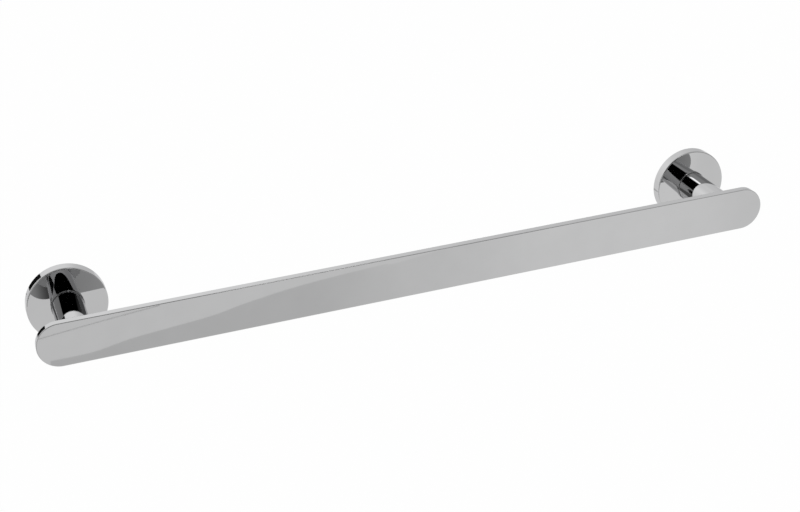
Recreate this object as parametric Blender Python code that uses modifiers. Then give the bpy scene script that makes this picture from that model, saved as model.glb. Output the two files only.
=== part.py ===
"""Wall-mounted towel bar: a flat bar with round ends on two round posts, each on a round wall flange.

X runs along the bar, Y points into the wall and Z is up. The origin lies on the wall plane, half way
between the posts. Lengths are metres.

Each support is built in its own frame, whose local Z leaves the wall along the post's axis and whose
local Y is up, so a height in a turned outline is the distance from the wall.
"""

import math

import bmesh
import bpy

# The whole fitting
POST_SPACING = 0.457
PROJECTION = 0.0605

# Flat bar, whose ends line up with the outer edges of the flanges
BAR_OVERHANG = 0.0265
BAR_HEIGHT = 0.030
BAR_THICKNESS = 0.0052
BAR_EDGE_ROUND = 0.0005

# Round posts
POST_DIAMETER = 0.021
POST_END_CHAMFER = 0.0005

# Round wall flanges, which are cups open to the wall
FLANGE_DIAMETER = 0.053
FLANGE_DEPTH = 0.008
FLANGE_FRONT_WALL = 0.0025
FLANGE_RIM_WALL = 0.003
FLANGE_EDGE_ROUND = 0.0008
FLANGE_CROWN = 0.0005
FLANGE_BACK_CHAMFER = 0.0003
FLANGE_INNER_FILLET = 0.0006
SEAT_RECESS_DEPTH = 0.0008
SEAT_RECESS_CHAMFER = 0.0004

# Wall brackets, with an undercut edge that the grub screw pulls against
BRACKET_THICKNESS = 0.0045
BRACKET_CLEARANCE = 0.00125
BRACKET_UNDERCUT = 0.0012
BRACKET_EDGE_LAND = 0.0008
BRACKET_CORNER_BREAK = 0.0003
SCREW_HEAD_CLEARANCE = 0.00175
SLOT_WIDTH = 0.0046
SLOT_LENGTH = 0.009
SLOT_HEAD_WIDTH = 0.009
SLOT_HEAD_DEPTH = 0.0024

# Screw that holds the flange to its post, and its split lock washer
SCREW_DIAMETER = 0.006
SCREW_LENGTH = 0.016
SCREW_HEAD_DIAMETER = 0.0105
SCREW_HEAD_HEIGHT = 0.0032
SCREW_SOCKET_ACROSS_FLATS = 0.004
SCREW_SOCKET_DEPTH = 0.002
WASHER_DIAMETER = 0.0105
WASHER_THICKNESS = 0.0009
WASHER_SPLIT = 0.0009
WASHER_SPLIT_ANGLE = 25

# Stud that is brazed into the bar's back and screws into the post
STUD_DIAMETER = 0.006
STUD_IN_POST = 0.014
STUD_HOLE_DEPTH = 0.0034

# Grub screw in the underside of the flange's rim
GRUB_DIAMETER = 0.0035
GRUB_HEIGHT = 0.0028
GRUB_POINT_FLAT = 0.0012
GRUB_RECESS = 0.0003
GRUB_SOCKET_ACROSS_FLATS = 0.0016
GRUB_SOCKET_DEPTH = 0.0015

# Fits and fine edges
SEAT_GAP = 0.0003
THREAD_GAP = 0.0003
HOLE_SPARE_DEPTH = 0.002
SCREW_TIP_CHAMFER = 0.0006
DRILL_POINT_ANGLE = 118

# Facets
TURN_STEPS = 64
SMALL_TURN_STEPS = 32
ARC_STEPS = 32
ROUND_STEPS = 3
CROWN_STEPS = 3
MERGE_DISTANCE = 0.00001
CUTTER_OVERRUN = 0.001

# The bar's length, and places that follow from the sizes above, as distances from the wall
BAR_LENGTH = POST_SPACING + 2 * BAR_OVERHANG
BAR_BACK = PROJECTION - BAR_THICKNESS
POST_REAR_END = FLANGE_DEPTH - SEAT_RECESS_DEPTH + SEAT_GAP
POST_FRONT_END = BAR_BACK - SEAT_GAP
CAVITY_DEPTH = FLANGE_DEPTH - FLANGE_FRONT_WALL
WASHER_FRONT = CAVITY_DEPTH - SEAT_GAP
HEAD_UNDERSIDE = WASHER_FRONT - WASHER_THICKNESS - SEAT_GAP
SCREW_TIP = HEAD_UNDERSIDE + SCREW_LENGTH
STUD_REAR_END = POST_FRONT_END - STUD_IN_POST
STUD_FRONT_END = BAR_BACK + STUD_HOLE_DEPTH - SEAT_GAP

# Radii that follow from the sizes above
POST_RADIUS = POST_DIAMETER / 2
FLANGE_RADIUS = FLANGE_DIAMETER / 2
CAVITY_RADIUS = FLANGE_RADIUS - FLANGE_RIM_WALL
RECESS_RADIUS = POST_RADIUS + SEAT_GAP
SCREW_HOLE_RADIUS = SCREW_DIAMETER / 2 + THREAD_GAP
STUD_HOLE_RADIUS = STUD_DIAMETER / 2 + THREAD_GAP
GRUB_HOLE_RADIUS = GRUB_DIAMETER / 2 + THREAD_GAP
BRACKET_FRONT_RADIUS = CAVITY_RADIUS - BRACKET_CLEARANCE
BRACKET_BACK_RADIUS = BRACKET_FRONT_RADIUS - BRACKET_UNDERCUT
BRACKET_HOLE_RADIUS = SCREW_HEAD_DIAMETER / 2 + SCREW_HEAD_CLEARANCE
SLOT_OFFSET = (BRACKET_HOLE_RADIUS + BRACKET_BACK_RADIUS) / 2

# Finishes: base colour, roughness
CHROME = ("polished_chrome", (0.60, 0.60, 0.61), 0.05)
ZINC_PLATE = ("zinc_plated_steel", (0.46, 0.47, 0.49), 0.42)
STEEL = ("plain_steel", (0.50, 0.50, 0.50), 0.30)


def clear_scene():
    """Removes every object of the start-up scene."""
    for thing in list(bpy.data.objects):
        bpy.data.objects.remove(thing)


def collection(name):
    """A new collection in the scene."""
    made = bpy.data.collections.new(name)
    bpy.context.scene.collection.children.link(made)
    return made


def metal(finish):
    """The material of a finish, made once."""
    name, colour, roughness = finish
    made = bpy.data.materials.get(name)
    if made is None:
        made = bpy.data.materials.new(name)
        made.use_nodes = True
        shader = made.node_tree.nodes["Principled BSDF"]
        shader.inputs["Base Color"].default_value = (*colour, 1.0)
        shader.inputs["Metallic"].default_value = 1.0
        shader.inputs["Roughness"].default_value = roughness
    return made


def arc(centre, radius, start, end, steps=ROUND_STEPS):
    """Points on an arc of an outline, both ends included. Angles are degrees from +X towards +Y."""
    points = []
    for step in range(steps + 1):
        angle = math.radians(start + (end - start) * step / steps)
        points.append((centre[0] + radius * math.cos(angle), centre[1] + radius * math.sin(angle)))
    return points


def add_object(name, data, home, parent=None, finish=None):
    """Puts a mesh or curve in a collection as an object, under its support's frame if it has one."""
    made = bpy.data.objects.new(name, data)
    home.objects.link(made)
    made.parent = parent
    if finish:
        data.materials.clear()
        data.materials.append(metal(finish))
    return made


def turned(name, outline, home, parent=None, finish=None, steps=TURN_STEPS):
    """Turns an outline of (radius, height) points about local Z.

    The points run down the outer side. An outline that starts and ends on the axis is a solid of
    revolution, and any other is closed on itself and makes a ring.
    """
    on_axis = outline[0][0] == 0 and outline[-1][0] == 0
    edges = [(i, i + 1) for i in range(len(outline) - 1)]
    if not on_axis:
        edges.append((len(outline) - 1, 0))
    mesh = bpy.data.meshes.new(name)
    mesh.from_pydata([(radius, 0, height) for radius, height in outline], edges, [])
    made = add_object(name, mesh, home, parent, finish)
    screw = made.modifiers.new("turn", "SCREW")
    screw.steps = steps
    screw.render_steps = steps
    screw.use_merge_vertices = True
    screw.merge_threshold = MERGE_DISTANCE
    screw.use_smooth_shade = True
    return made


def plate(name, outline, low, high, home, parent=None, finish=None):
    """Extrudes a flat outline of (x, y) points from one height to another, as a closed mesh."""
    curve = bpy.data.curves.new(name, "CURVE")
    curve.dimensions = "2D"
    curve.fill_mode = "BOTH"
    curve.extrude = (high - low) / 2
    spline = curve.splines.new("POLY")
    spline.points.add(len(outline) - 1)
    for point, (x, y) in zip(spline.points, outline):
        point.co = (x, y, 0, 1)
    spline.use_cyclic_u = True
    flat = bpy.data.objects.new(name, curve)
    home.objects.link(flat)
    bpy.context.view_layer.update()
    shape = flat.evaluated_get(bpy.context.evaluated_depsgraph_get())
    mesh = bpy.data.meshes.new_from_object(shape)
    edit = bmesh.new()
    edit.from_mesh(mesh)
    bmesh.ops.remove_doubles(edit, verts=edit.verts, dist=MERGE_DISTANCE)
    bmesh.ops.translate(edit, verts=edit.verts, vec=(0, 0, (low + high) / 2))
    edit.to_mesh(mesh)
    edit.free()
    bpy.data.objects.remove(flat)
    bpy.data.curves.remove(curve)
    mesh.name = name
    return add_object(name, mesh, home, parent, finish)


def stadium(length, height, steps=ARC_STEPS):
    """The outline of a slot or a round-ended bar that lies along X."""
    radius = height / 2
    reach = length / 2 - radius
    return arc((reach, 0), radius, -90, 90, steps) + arc((-reach, 0), radius, 90, 270, steps)


def hexagon(across_flats):
    """The outline of a hexagon socket."""
    return arc((0, 0), across_flats / math.sqrt(3), 0, 300, 5)


def take_primitive(name, home, parent):
    """Names the primitive that was just added and moves it into a collection, under its frame."""
    made = bpy.context.object
    made.name = name
    for owner in list(made.users_collection):
        owner.objects.unlink(made)
    home.objects.link(made)
    made.parent = parent
    return made


def cut(body, cutter):
    """Takes the cutter out of the body."""
    boolean = body.modifiers.new("cut " + cutter.name, "BOOLEAN")
    boolean.operation = "DIFFERENCE"
    boolean.object = cutter
    cutter.hide_render = True
    cutter.display_type = "WIRE"


def even_shading(body):
    """Lets the flat faces set the shading of the fine edges round them."""
    body.modifiers.new("shading", "WEIGHTED_NORMAL")


def drill_point(radius):
    """Height of the cone that a drill leaves at the end of a blind hole."""
    return radius / math.tan(math.radians(DRILL_POINT_ANGLE / 2))


def support_frame(name, x, home):
    """The frame of one support: on the wall, with local Z along the post's axis and local Y up."""
    made = bpy.data.objects.new(name, None)
    home.objects.link(made)
    made.location = (x, 0, 0)
    made.rotation_euler = (math.radians(90), 0, 0)
    return made


def build_bar(parts, cutters, frames):
    """The flat bar, with a blind hole for a stud behind each post."""
    bar = plate("bar", stadium(BAR_LENGTH, BAR_HEIGHT), BAR_BACK, PROJECTION, parts, None, CHROME)
    bar.rotation_euler = (math.radians(90), 0, 0)
    bar.data.shade_smooth()
    bevel = bar.modifiers.new("edge", "BEVEL")
    bevel.width = BAR_EDGE_ROUND
    bevel.segments = ROUND_STEPS
    for side, frame in frames.items():
        hole_end = BAR_BACK + STUD_HOLE_DEPTH
        outline = [(0, hole_end), (STUD_HOLE_RADIUS, hole_end)]
        outline += [(STUD_HOLE_RADIUS, BAR_BACK - CUTTER_OVERRUN), (0, BAR_BACK - CUTTER_OVERRUN)]
        hole = turned("stud_hole_" + side, outline, cutters, frame, None, SMALL_TURN_STEPS)
        cut(bar, hole)
    even_shading(bar)


def build_stud(side, frame, parts):
    """The stud that joins the bar to the post."""
    radius = STUD_DIAMETER / 2
    outline = [(0, STUD_FRONT_END), (radius, STUD_FRONT_END)]
    outline += [(radius, STUD_REAR_END + SCREW_TIP_CHAMFER)]
    outline += [(radius - SCREW_TIP_CHAMFER, STUD_REAR_END), (0, STUD_REAR_END)]
    even_shading(turned("bar_stud_" + side, outline, parts, frame, STEEL, SMALL_TURN_STEPS))


def build_post(side, frame, parts):
    """The round post, chamfered at both ends and tapped from both ends."""
    stud_hole_end = STUD_REAR_END - HOLE_SPARE_DEPTH
    screw_hole_end = SCREW_TIP + HOLE_SPARE_DEPTH
    outline = [(0, stud_hole_end - drill_point(STUD_HOLE_RADIUS)), (STUD_HOLE_RADIUS, stud_hole_end)]
    outline += [(STUD_HOLE_RADIUS, POST_FRONT_END)]
    outline += [(POST_RADIUS - POST_END_CHAMFER, POST_FRONT_END)]
    outline += [(POST_RADIUS, POST_FRONT_END - POST_END_CHAMFER)]
    outline += [(POST_RADIUS, POST_REAR_END + POST_END_CHAMFER)]
    outline += [(POST_RADIUS - POST_END_CHAMFER, POST_REAR_END)]
    outline += [(SCREW_HOLE_RADIUS, POST_REAR_END), (SCREW_HOLE_RADIUS, screw_hole_end)]
    outline += [(0, screw_hole_end + drill_point(SCREW_HOLE_RADIUS))]
    even_shading(turned("post_" + side, outline, parts, frame, CHROME))


def crowned_face():
    """Outline of the flange's face, slightly domed, from the seat's edge to the tangent of the rim's round."""
    inner = RECESS_RADIUS + SEAT_RECESS_CHAMFER
    outer = FLANGE_RADIUS - FLANGE_EDGE_ROUND
    bend = FLANGE_CROWN / (outer**2 - inner**2)
    points = []
    for step in range(CROWN_STEPS):
        radius = inner + (outer - inner) * step / CROWN_STEPS
        points.append((radius, FLANGE_DEPTH - bend * (radius**2 - inner**2)))
    tilt = math.degrees(math.atan(2 * bend * outer))
    edge = (outer, FLANGE_DEPTH - FLANGE_CROWN - FLANGE_EDGE_ROUND)
    return points + arc(edge, FLANGE_EDGE_ROUND, 90 - tilt, 0)


def build_flange(side, frame, parts, cutters):
    """The cup-shaped wall flange, with a seat for the post and a tapped hole under its rim."""
    seat = FLANGE_DEPTH - SEAT_RECESS_DEPTH
    outline = [(SCREW_HOLE_RADIUS, seat), (RECESS_RADIUS, seat)]
    outline += [(RECESS_RADIUS, FLANGE_DEPTH - SEAT_RECESS_CHAMFER)]
    outline += crowned_face()
    outline += [(FLANGE_RADIUS, FLANGE_BACK_CHAMFER), (FLANGE_RADIUS - FLANGE_BACK_CHAMFER, 0)]
    outline += [(CAVITY_RADIUS, 0)]
    inner = (CAVITY_RADIUS - FLANGE_INNER_FILLET, CAVITY_DEPTH - FLANGE_INNER_FILLET)
    outline += arc(inner, FLANGE_INNER_FILLET, 0, 90)
    outline += [(SCREW_HOLE_RADIUS, CAVITY_DEPTH)]
    flange = turned("flange_" + side, outline, parts, frame, CHROME)

    bpy.ops.mesh.primitive_cylinder_add(
        vertices=SMALL_TURN_STEPS, radius=GRUB_HOLE_RADIUS, depth=FLANGE_RIM_WALL + 2 * CUTTER_OVERRUN
    )
    hole = take_primitive("grub_hole_" + side, cutters, frame)
    hole.location = (0, -(FLANGE_RADIUS + CAVITY_RADIUS) / 2, GRUB_HEIGHT)
    hole.rotation_euler = (math.radians(90), 0, 0)
    cut(flange, hole)
    even_shading(flange)


def build_lock_washer(side, frame, parts, cutters):
    """The split lock washer under the head of the flange screw."""
    outer = WASHER_DIAMETER / 2
    back = WASHER_FRONT - WASHER_THICKNESS
    outline = [(SCREW_HOLE_RADIUS, WASHER_FRONT), (outer, WASHER_FRONT)]
    outline += [(outer, back), (SCREW_HOLE_RADIUS, back)]
    washer = turned("lock_washer_" + side, outline, parts, frame, STEEL, SMALL_TURN_STEPS)

    bpy.ops.mesh.primitive_cube_add(size=1)
    split = take_primitive("washer_split_" + side, cutters, frame)
    split.location = (0, (SCREW_HOLE_RADIUS + outer) / 2, WASHER_FRONT - WASHER_THICKNESS / 2)
    split.rotation_euler = (0, math.radians(WASHER_SPLIT_ANGLE), 0)
    split.scale = (WASHER_SPLIT, outer - SCREW_HOLE_RADIUS + CUTTER_OVERRUN, WASHER_THICKNESS * 2)
    cut(washer, split)


def build_flange_screw(side, frame, parts, cutters):
    """The button-head screw that pulls the flange against the post."""
    radius = SCREW_DIAMETER / 2
    head_radius = SCREW_HEAD_DIAMETER / 2
    head_end = HEAD_UNDERSIDE - SCREW_HEAD_HEIGHT
    crown = SCREW_SOCKET_ACROSS_FLATS / math.sqrt(3) + SEAT_GAP
    outline = [(0, SCREW_TIP), (radius - SCREW_TIP_CHAMFER, SCREW_TIP)]
    outline += [(radius, SCREW_TIP - SCREW_TIP_CHAMFER), (radius, HEAD_UNDERSIDE)]
    outline += [(head_radius, HEAD_UNDERSIDE)]
    shoulder = HEAD_UNDERSIDE - SCREW_HEAD_HEIGHT / 4
    for step in range(ROUND_STEPS * 2 + 1):
        turn = math.radians(90 * step / (ROUND_STEPS * 2))
        across = crown + (head_radius - crown) * math.cos(turn)
        along = shoulder - (shoulder - head_end) * math.sin(turn)
        outline.append((across, along))
    outline += [(0, head_end)]
    screw = turned("flange_screw_" + side, outline, parts, frame, STEEL, SMALL_TURN_STEPS)
    socket_low = head_end - CUTTER_OVERRUN
    socket_high = head_end + SCREW_SOCKET_DEPTH
    shape = hexagon(SCREW_SOCKET_ACROSS_FLATS)
    cut(screw, plate("screw_socket_" + side, shape, socket_low, socket_high, cutters, frame))
    even_shading(screw)


def build_wall_bracket(side, frame, parts, cutters):
    """The bracket that is screwed to the wall inside the flange, with two slots for its screws."""
    outline = [(BRACKET_HOLE_RADIUS, BRACKET_THICKNESS)]
    outline += [(BRACKET_FRONT_RADIUS - BRACKET_CORNER_BREAK, BRACKET_THICKNESS)]
    outline += [(BRACKET_FRONT_RADIUS, BRACKET_THICKNESS - BRACKET_CORNER_BREAK)]
    outline += [(BRACKET_FRONT_RADIUS, BRACKET_THICKNESS - BRACKET_EDGE_LAND)]
    outline += [(BRACKET_BACK_RADIUS, 0), (BRACKET_HOLE_RADIUS, 0)]
    bracket = turned("wall_bracket_" + side, outline, parts, frame, ZINC_PLATE)
    head_length = SLOT_LENGTH + SLOT_HEAD_WIDTH - SLOT_WIDTH
    head_floor = BRACKET_THICKNESS - SLOT_HEAD_DEPTH
    top = BRACKET_THICKNESS + CUTTER_OVERRUN
    for number, x in enumerate((-SLOT_OFFSET, SLOT_OFFSET), start=1):
        slot = [(x - b, a) for a, b in stadium(SLOT_LENGTH, SLOT_WIDTH, steps=8)]
        head = [(x - b, a) for a, b in stadium(head_length, SLOT_HEAD_WIDTH, steps=8)]
        cut(bracket, plate(f"slot_{side}_{number}", slot, -CUTTER_OVERRUN, top, cutters, frame))
        cut(bracket, plate(f"slot_head_{side}_{number}", head, head_floor, top, cutters, frame))
    even_shading(bracket)


def bracket_edge_radius(height):
    """Radius of the bracket's undercut edge at a distance from the wall."""
    slope_end = BRACKET_THICKNESS - BRACKET_EDGE_LAND
    return BRACKET_BACK_RADIUS + BRACKET_UNDERCUT * min(height / slope_end, 1)


def build_grub_screw(side, frame, parts, cutters):
    """The grub screw that locks the flange on the bracket, turned from below with a hexagon key."""
    radius = GRUB_DIAMETER / 2
    point = -(bracket_edge_radius(GRUB_HEIGHT + GRUB_POINT_FLAT) + SEAT_GAP)
    cone = radius - GRUB_POINT_FLAT / 2
    outer_end = -(FLANGE_RADIUS - GRUB_RECESS)
    outline = [(0, point), (GRUB_POINT_FLAT / 2, point), (radius, point - cone)]
    outline += [(radius, outer_end), (0, outer_end)]
    grub = turned("grub_screw_" + side, outline, parts, frame, STEEL, SMALL_TURN_STEPS)
    socket_low = outer_end - CUTTER_OVERRUN
    socket_high = outer_end + GRUB_SOCKET_DEPTH
    shape = hexagon(GRUB_SOCKET_ACROSS_FLATS)
    socket = plate("grub_socket_" + side, shape, socket_low, socket_high, cutters, frame)
    for piece in (grub, socket):
        piece.location = (0, 0, GRUB_HEIGHT)
        piece.rotation_euler = (math.radians(-90), 0, 0)
    cut(grub, socket)
    even_shading(grub)


def build():
    """Builds the whole fitting."""
    clear_scene()
    parts = collection("towel_bar")
    cutters = collection("cutters")
    frames = {
        "left": support_frame("left_support", -POST_SPACING / 2, parts),
        "right": support_frame("right_support", POST_SPACING / 2, parts),
    }
    build_bar(parts, cutters, frames)
    for side, frame in frames.items():
        build_stud(side, frame, parts)
        build_post(side, frame, parts)
        build_flange(side, frame, parts, cutters)
        build_lock_washer(side, frame, parts, cutters)
        build_flange_screw(side, frame, parts, cutters)
        build_wall_bracket(side, frame, parts, cutters)
        build_grub_screw(side, frame, parts, cutters)
    cutters.hide_render = True


build()
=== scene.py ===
"""Polished towel bar on two round wall supports: fine meshes, finishes, studio and camera.

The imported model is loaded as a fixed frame, in metres: X runs along the bar, Y points into the wall, Z is up,
and the origin lies on the wall plane half way between the posts. Each piece of it is built again here as a
finer mesh in the same place, and takes its sizes and its place from the piece that it stands for.

Each support is built in its own frame, whose local Z leaves the wall along the post's axis and whose local Y
is up. A height in a turned outline is therefore a distance from the wall.
"""

import logging
import math
from dataclasses import dataclass
from enum import Enum
from typing import Callable, Optional, Sequence

import bmesh
import bpy
from mathutils import Matrix, Vector


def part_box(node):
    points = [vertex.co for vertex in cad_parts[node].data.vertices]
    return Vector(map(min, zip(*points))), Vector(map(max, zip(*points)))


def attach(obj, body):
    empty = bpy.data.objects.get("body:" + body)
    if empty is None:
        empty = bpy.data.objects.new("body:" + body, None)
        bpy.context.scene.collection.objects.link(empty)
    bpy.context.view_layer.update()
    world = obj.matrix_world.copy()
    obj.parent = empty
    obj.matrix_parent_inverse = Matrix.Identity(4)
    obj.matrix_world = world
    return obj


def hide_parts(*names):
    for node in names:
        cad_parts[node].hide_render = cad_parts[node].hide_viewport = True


Point = tuple[float, float]
Colour = tuple[float, float, float]

BODY = "root"

log = logging.getLogger("towel_bar")

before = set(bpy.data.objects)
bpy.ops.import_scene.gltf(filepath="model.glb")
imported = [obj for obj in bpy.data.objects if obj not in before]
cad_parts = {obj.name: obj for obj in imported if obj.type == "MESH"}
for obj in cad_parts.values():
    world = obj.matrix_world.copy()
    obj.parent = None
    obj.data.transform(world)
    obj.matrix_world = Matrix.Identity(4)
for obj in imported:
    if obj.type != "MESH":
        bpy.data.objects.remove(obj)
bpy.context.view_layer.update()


class Side(Enum):
    """The material slots."""

    LEFT = "left"
    RIGHT = "right"


class Slot(Enum):
    """The record's material slots."""

    CHROME = "chrome_plate"
    ZINC = "zinc_plate"
    STEEL = "plain_steel"


# Outlines


@dataclass(frozen=True)
class Corner:
    """A corner of a turned outline.

    Attributes:
        radius: distance from the turning axis.
        height: distance along the axis.
        round: radius of the fillet on the corner, or 0 for a sharp one.
    """

    radius: float
    height: float
    round: float = 0.0

    def place(self) -> Vector:
        """The corner as a vector."""
        return Vector((self.radius, self.height))


def filleted(corners: Sequence[Corner], closed: bool, steps: int = 8) -> list[Point]:
    """Rounds the corners of an outline.

    Args:
        corners: the outline's corners, in order.
        closed: whether the last corner joins the first.
        steps: facets in each fillet.

    Returns:
        The points of the outline, in the same order.
    """
    points: list[Point] = []
    for index, corner in enumerate(corners):
        at_end = not closed and index in (0, len(corners) - 1)
        if corner.round == 0 or at_end:
            points.append((corner.radius, corner.height))
            continue
        back = (corners[index - 1].place() - corner.place()).normalized()
        onward = (corners[(index + 1) % len(corners)].place() - corner.place()).normalized()
        half = back.angle(onward) / 2
        centre = corner.place() + (back + onward).normalized() * corner.round / math.sin(half)
        start = corner.place() + back * corner.round / math.tan(half) - centre
        first = math.atan2(start.y, start.x)
        sweep = (math.pi - 2 * half) * (1 if start.x * onward.y - start.y * onward.x > 0 else -1)
        for step in range(steps + 1):
            angle = first + sweep * step / steps
            points.append((
                centre.x + corner.round * math.cos(angle),
                centre.y + corner.round * math.sin(angle),
            ))
    return points


def stadium(length: float, height: float, steps: int = 64) -> Callable[[float], list[Point]]:
    """The outline of a round-ended strip that lies along X, as a function of how far it is set in.

    Args:
        length: the whole length.
        height: the height, which is also the diameter of the ends.
        steps: facets in each round end.

    Returns:
        A function from the inset to the outline's points.
    """
    reach = (length - height) / 2

    def outline(inset: float) -> list[Point]:
        """The points of the outline, set in by a distance."""
        radius = height / 2 - inset
        points: list[Point] = []
        for end, first in ((reach, -math.pi / 2), (-reach, math.pi / 2)):
            for step in range(steps + 1):
                angle = first + math.pi * step / steps
                points.append((end + radius * math.cos(angle), radius * math.sin(angle)))
        return points

    return outline


def hexagon(across_flats: float) -> Callable[[float], list[Point]]:
    """The outline of a hexagon, as a function of how far it is set in.

    Args:
        across_flats: distance between two opposite sides.

    Returns:
        A function from the inset to the outline's points.
    """

    def outline(inset: float) -> list[Point]:
        """The points of the outline, set in by a distance."""
        radius = (across_flats - 2 * inset) / math.sqrt(3)
        turns = (math.radians(60 * corner) for corner in range(6))
        return [(radius * math.cos(turn), radius * math.sin(turn)) for turn in turns]

    return outline


# Meshes


@dataclass(frozen=True)
class Thread:
    """An outside screw thread along a turned piece.

    Attributes:
        pitch: distance from one crest to the next.
        depth: depth of the groove below the crests.
        start: lowest height of the threaded stretch.
        end: highest height of the threaded stretch.
        rings: rings of points in one pitch.
    """

    pitch: float
    depth: float
    start: float
    end: float
    rings: int = 12

    def groove(self, angle: float, height: float) -> float:
        """Depth of the groove at a point of the surface.

        Args:
            angle: the point's angle about the axis.
            height: the point's height along the axis.

        Returns:
            How far the point is sunk.
        """
        turn = (height / self.pitch - angle / math.tau) % 1
        rise = min(max((abs(2 * turn - 1) - 0.2) / 0.65, 0), 1)
        run_out = min(max((height - self.start) / self.pitch, 0), max((self.end - height) / self.pitch, 0), 1)
        return self.depth * (1 - rise) * run_out

    def split(self, points: Sequence[Point]) -> list[Point]:
        """Adds rings to an outline along the threaded stretch.

        Args:
            points: the turned outline.

        Returns:
            The outline with more points on its long straight runs.
        """
        fine: list[Point] = []
        for here, onward in zip(points, points[1:]):
            fine.append(here)
            run = abs(onward[1] - here[1])
            count = int(run / self.pitch * self.rings) if here[0] > 0 and onward[0] > 0 else 0
            for step in range(1, count):
                share = step / count
                fine.append((
                    here[0] + (onward[0] - here[0]) * share,
                    here[1] + (onward[1] - here[1]) * share,
                ))
        fine.append(points[-1])
        return fine


def as_object(name: str, mesh: bmesh.types.BMesh, place: Matrix) -> bpy.types.Object:
    """Makes an object of a mesh that is being edited.

    Args:
        name: the object's name.
        mesh: the closed mesh, which is freed.
        place: the frame that the mesh is built in.

    Returns:
        The new object, in the scene.
    """
    bmesh.ops.recalc_face_normals(mesh, faces=mesh.faces)
    data = bpy.data.meshes.new(name)
    mesh.to_mesh(data)
    mesh.free()
    made = bpy.data.objects.new(name, data)
    bpy.context.scene.collection.objects.link(made)
    made.matrix_world = place
    return made


def turned(
    name: str,
    points: Sequence[Point],
    closed: bool,
    place: Matrix,
    segments: int = 192,
    thread: Optional[Thread] = None,
) -> bpy.types.Object:
    """Turns an outline about local Z.

    Args:
        name: the object's name.
        points: the outline, as (radius, height).
        closed: whether the outline is a ring's section; if not, its ends lie on the axis.
        place: the frame that the outline is turned in.
        segments: facets in a whole turn.
        thread: a thread on the outer side, if there is one.

    Returns:
        The turned object.
    """
    mesh = bmesh.new()
    rings: list[list[bmesh.types.BMVert]] = []
    for radius, height in thread.split(points) if thread else points:
        if radius == 0:
            rings.append([mesh.verts.new((0, 0, height))])
            continue
        ring = []
        for step in range(segments):
            angle = math.tau * step / segments
            reach = radius - (thread.groove(angle, height) if thread else 0)
            ring.append(mesh.verts.new((reach * math.cos(angle), reach * math.sin(angle), height)))
        rings.append(ring)
    pairs = list(zip(rings, rings[1:]))
    if closed:
        pairs.append((rings[-1], rings[0]))
    for upper, lower in pairs:
        for step in range(segments):
            after = (step + 1) % segments
            face = [upper[step % len(upper)], upper[after % len(upper)]]
            face += [lower[after % len(lower)], lower[step % len(lower)]]
            mesh.faces.new(list(dict.fromkeys(face)))
    return as_object(name, mesh, place)


def stacked(
    name: str,
    outline: Callable[[float], list[Point]],
    levels: Sequence[tuple[float, float]],
    place: Matrix,
) -> bpy.types.Object:
    """Stacks copies of a flat outline, each at its own inset and height, and closes both ends.

    Args:
        name: the object's name.
        outline: function from an inset to the outline's points.
        levels: (inset, height) of each copy, from one end to the other.
        place: the frame that the stack stands in.

    Returns:
        The stacked object.
    """
    mesh = bmesh.new()
    rings = [[mesh.verts.new((x, y, height)) for x, y in outline(inset)] for inset, height in levels]
    for lower, upper in zip(rings, rings[1:]):
        for step in range(len(lower)):
            after = (step + 1) % len(lower)
            mesh.faces.new((lower[step], lower[after], upper[after], upper[step]))
    mesh.faces.new(list(reversed(rings[0])))
    mesh.faces.new(rings[-1])
    return as_object(name, mesh, place)


def carved(body: bpy.types.Object, cutters: Sequence[bpy.types.Object]) -> bpy.types.Object:
    """Takes cutters out of a body for good.

    Args:
        body: the object to cut.
        cutters: closed objects, which are removed afterwards.

    Returns:
        The same body, with its new mesh.
    """
    for cutter in cutters:
        boolean = body.modifiers.new(cutter.name, "BOOLEAN")
        boolean.operation = "DIFFERENCE"
        boolean.object = cutter
    bpy.context.view_layer.update()
    shape = body.evaluated_get(bpy.context.evaluated_depsgraph_get())
    mesh = bpy.data.meshes.new_from_object(shape)
    body.modifiers.clear()
    body.data = mesh
    for cutter in cutters:
        bpy.data.objects.remove(cutter)
    return body


def shaded(body: bpy.types.Object, sharp_angle: float = 32.0) -> bpy.types.Object:
    """Shades a body smooth, with crisp corners and truly flat flats.

    Args:
        body: the object to shade.
        sharp_angle: the least corner, in degrees, that stays sharp.

    Returns:
        The same body.
    """
    body.data.shade_smooth()
    body.data.set_sharp_from_angle(angle=math.radians(sharp_angle))
    weighted = body.modifiers.new("flats", "WEIGHTED_NORMAL")
    weighted.keep_sharp = True
    weighted.weight = 100
    return body


# Finishes


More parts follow.
